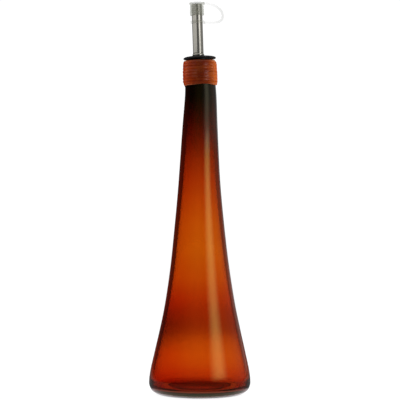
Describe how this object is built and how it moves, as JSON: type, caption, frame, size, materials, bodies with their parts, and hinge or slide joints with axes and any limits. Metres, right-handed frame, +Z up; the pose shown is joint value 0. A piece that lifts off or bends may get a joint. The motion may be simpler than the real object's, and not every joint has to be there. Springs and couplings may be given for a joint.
{
  "type": "oil drizzler bottle",
  "caption": "Tall flared blown amber glass bottle with a lace-bound neck and a stoppered steel pouring spout under a clear strapped cap.",
  "frame": {"origin": "centre of the ring that the bottle stands on", "axes": "+Z up along the bottle, -Y towards the picture's camera, +X to its right, where the cap's strap loops out"},
  "size_m": [0.0882, 0.0882, 0.3445],
  "materials": {
    "glass": "clear blown glass, amber, shading to near black at the neck",
    "lace": "rust brown flat lace, slightly glossy, fine streaks along its length",
    "stopper_rubber": "smooth black, half matt",
    "steel": "polished steel tube",
    "clear_plastic": "clear soft plastic, faintly grey green"
  },
  "bodies": {
    "root": {"bottle": "glass", "neck_wrap": "lace", "stopper": "stopper_rubber", "spout": "steel", "cap": "clear_plastic"}
  },
  "joints": []
}
